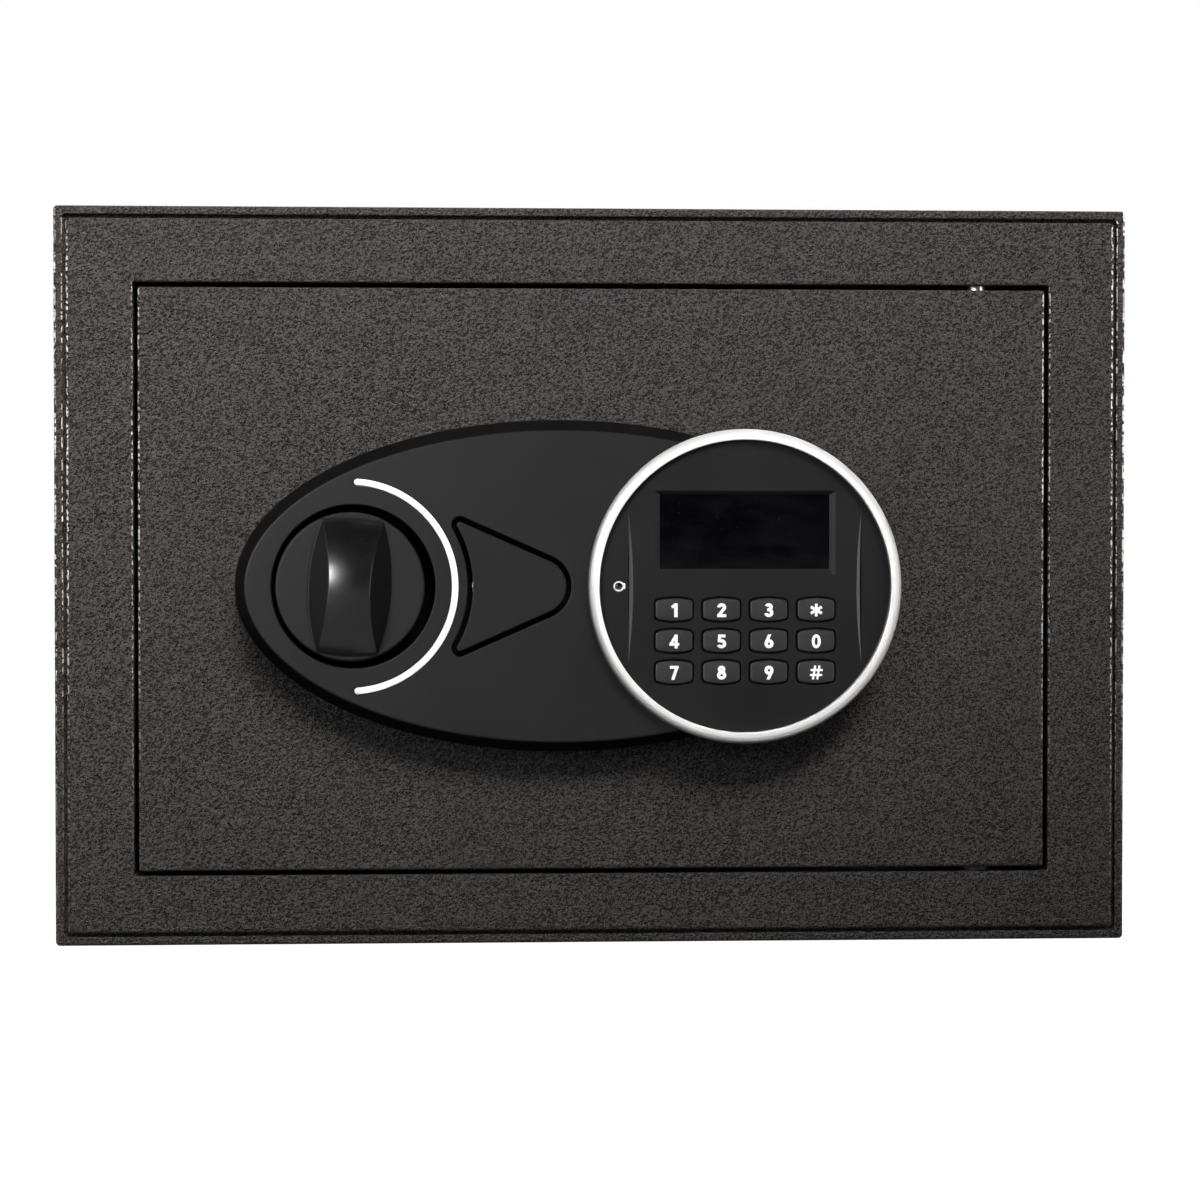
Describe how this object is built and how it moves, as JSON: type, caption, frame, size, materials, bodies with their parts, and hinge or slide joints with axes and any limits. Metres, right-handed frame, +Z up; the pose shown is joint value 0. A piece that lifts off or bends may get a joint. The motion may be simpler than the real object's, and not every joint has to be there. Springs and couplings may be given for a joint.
{
  "type": "wall safe",
  "caption": "Recessed wall safe: flanged steel cabinet, hinged door with electronic keypad lock, turning knob, sliding locking bolts and a key override behind a cover.",
  "frame": {"origin": "centre of the door opening on the wall plane, which is the rear face of the flange", "axes": "+Z up, +Y into the wall, +X to the right seen from the front; the door faces -Y"},
  "size_m": [0.34, 0.133, 0.233],
  "materials": {
    "powder_coat": "wrinkle powder coat, near black with a warm grey cast",
    "cover_paint": "smooth satin black paint",
    "zinc_plate": "bright zinc plate",
    "black_nylon": "moulded nylon",
    "mat_felt": "needle-felt lining",
    "bronze": "sintered bronze",
    "tray_plastic": "moulded, fine texture",
    "battery_wrap": "printed sleeve, plain",
    "spring_steel": "nickel plate",
    "grommet_rubber": "soft rubber",
    "cable_jacket": "pvc sleeve",
    "panel_plastic": "fine matt moulding",
    "white_inlay": "white moulded inlay",
    "satin_ring": "satin silver",
    "keypad_plastic": "fine matt moulding",
    "dark_glass": "smoked acrylic window",
    "lcd": "unlit display",
    "circuit_board": "solder mask",
    "silicone": "moulded silicone",
    "led_lens": "light ring",
    "lock_brass": "turned brass",
    "knob_plastic": "semi-gloss moulding",
    "key_plastic": "moulded key with a white numeral",
    "yellow_zinc": "yellow passivated zinc",
    "bolt_steel": "polished steel",
    "black_oxide": "black oxide",
    "coil_tape": "amber tape over copper",
    "red_plastic": "moulded"
  },
  "bodies": {
    "cabinet": {"body_shell": "powder_coat", "back_panel": "powder_coat", "front_frame": "powder_coat", "hinge_bosses": "powder_coat", "hinge_pins": "zinc_plate", "thrust_washer": "black_nylon", "floor_mat": "mat_felt"},
    "door": {"door_panel": "powder_coat", "hinge_bushes": "bronze", "mechanism_cover": "cover_paint", "cover_posts": "zinc_plate", "cover_screws": "zinc_plate", "battery_tray": "tray_plastic", "batteries": "battery_wrap", "battery_contacts": "spring_steel", "spindle_bush": "bronze", "guide_studs": "zinc_plate", "escutcheon_screws": "zinc_plate", "cable_grommet": "grommet_rubber", "wire_harness": "cable_jacket", "escutcheon": "panel_plastic", "arc_inlay": "white_inlay", "keypad_ring": "satin_ring", "keypad_face": "keypad_plastic", "display_window": "dark_glass", "lcd_module": "lcd", "keypad_pcb": "circuit_board", "key_mat": "silicone", "status_led": "led_lens", "lock_barrel": "zinc_plate", "lock_nut": "zinc_plate", "solenoid_frame": "zinc_plate", "solenoid_coil": "coil_tape", "reset_switch": "circuit_board"},
    "knob": {"knob_grip": "knob_plastic", "spindle": "zinc_plate", "spindle_clip": "spring_steel", "drive_cam": "zinc_plate"},
    "bolt_work": {"bolt_carrier": "yellow_zinc", "locking_bolts": "bolt_steel", "bolt_screws": "black_oxide"},
    "plunger": {"solenoid_plunger": "bolt_steel", "plunger_spring": "spring_steel"},
    "key_plug": {"lock_plug": "lock_brass", "lock_cam": "zinc_plate"},
    "override_cover_body": {"override_cover": "panel_plastic"},
    "reset_button_body": {"reset_button": "red_plastic"},
    "battery_lid_body": {"battery_lid": "tray_plastic"},
    "pad_key_1": {"key_1": "key_plastic"},
    "pad_key_2": {"key_2": "key_plastic"},
    "pad_key_3": {"key_3": "key_plastic"},
    "pad_key_star": {"key_star": "key_plastic"},
    "pad_key_4": {"key_4": "key_plastic"},
    "pad_key_5": {"key_5": "key_plastic"},
    "pad_key_6": {"key_6": "key_plastic"},
    "pad_key_0": {"key_0": "key_plastic"},
    "pad_key_7": {"key_7": "key_plastic"},
    "pad_key_8": {"key_8": "key_plastic"},
    "pad_key_9": {"key_9": "key_plastic"},
    "pad_key_hash": {"key_hash": "key_plastic"}
  },
  "joints": [
    {"name": "door_swing", "type": "hinge", "parent": "cabinet", "child": "door", "pos_m": [0.12315, 0.00225, 0], "axis": [0, 0, 1], "range_deg": [0, 100]},
    {"name": "knob_turn", "type": "hinge", "parent": "door", "child": "knob", "pos_m": [-0.0769, 0, -0.002], "axis": [0, -1, 0], "range_deg": [0, 90]},
    {"name": "bolt_throw", "type": "slide", "parent": "door", "child": "bolt_work", "axis": [-1, 0, 0], "range_m": [0, 0.012]},
    {"name": "plunger_slide", "type": "slide", "parent": "door", "child": "plunger", "axis": [0, 0, -1], "range_m": [0, 0.005], "deforming": ["plunger_spring"]},
    {"name": "override_plug_turn", "type": "hinge", "parent": "door", "child": "key_plug", "pos_m": [-0.0295, 0, -0.002], "axis": [0, -1, 0], "range_deg": [0, 90]},
    {"name": "override_cover_release", "type": "slide", "parent": "door", "child": "override_cover_body", "axis": [0, -1, 0], "range_m": [0, 0.03]},
    {"name": "reset_press", "type": "slide", "parent": "door", "child": "reset_button_body", "axis": [0, -1, 0], "range_m": [0, 0.0015]},
    {"name": "lid_slide", "type": "slide", "parent": "door", "child": "battery_lid_body", "axis": [1, 0, 0], "range_m": [0, 0.01]},
    {"name": "travel_key_1", "type": "slide", "parent": "door", "child": "pad_key_1", "axis": [0, 1, 0], "range_m": [0, 0.001]},
    {"name": "travel_key_2", "type": "slide", "parent": "door", "child": "pad_key_2", "axis": [0, 1, 0], "range_m": [0, 0.001]},
    {"name": "travel_key_3", "type": "slide", "parent": "door", "child": "pad_key_3", "axis": [0, 1, 0], "range_m": [0, 0.001]},
    {"name": "travel_key_star", "type": "slide", "parent": "door", "child": "pad_key_star", "axis": [0, 1, 0], "range_m": [0, 0.001]},
    {"name": "travel_key_4", "type": "slide", "parent": "door", "child": "pad_key_4", "axis": [0, 1, 0], "range_m": [0, 0.001]},
    {"name": "travel_key_5", "type": "slide", "parent": "door", "child": "pad_key_5", "axis": [0, 1, 0], "range_m": [0, 0.001]},
    {"name": "travel_key_6", "type": "slide", "parent": "door", "child": "pad_key_6", "axis": [0, 1, 0], "range_m": [0, 0.001]},
    {"name": "travel_key_0", "type": "slide", "parent": "door", "child": "pad_key_0", "axis": [0, 1, 0], "range_m": [0, 0.001]},
    {"name": "travel_key_7", "type": "slide", "parent": "door", "child": "pad_key_7", "axis": [0, 1, 0], "range_m": [0, 0.001]},
    {"name": "travel_key_8", "type": "slide", "parent": "door", "child": "pad_key_8", "axis": [0, 1, 0], "range_m": [0, 0.001]},
    {"name": "travel_key_9", "type": "slide", "parent": "door", "child": "pad_key_9", "axis": [0, 1, 0], "range_m": [0, 0.001]},
    {"name": "travel_key_hash", "type": "slide", "parent": "door", "child": "pad_key_hash", "axis": [0, 1, 0], "range_m": [0, 0.001]}
  ],
  "couplings": [
    {"joint": "knob_turn", "follows": "bolt_throw", "rad_per_m": 130.89}
  ]
}
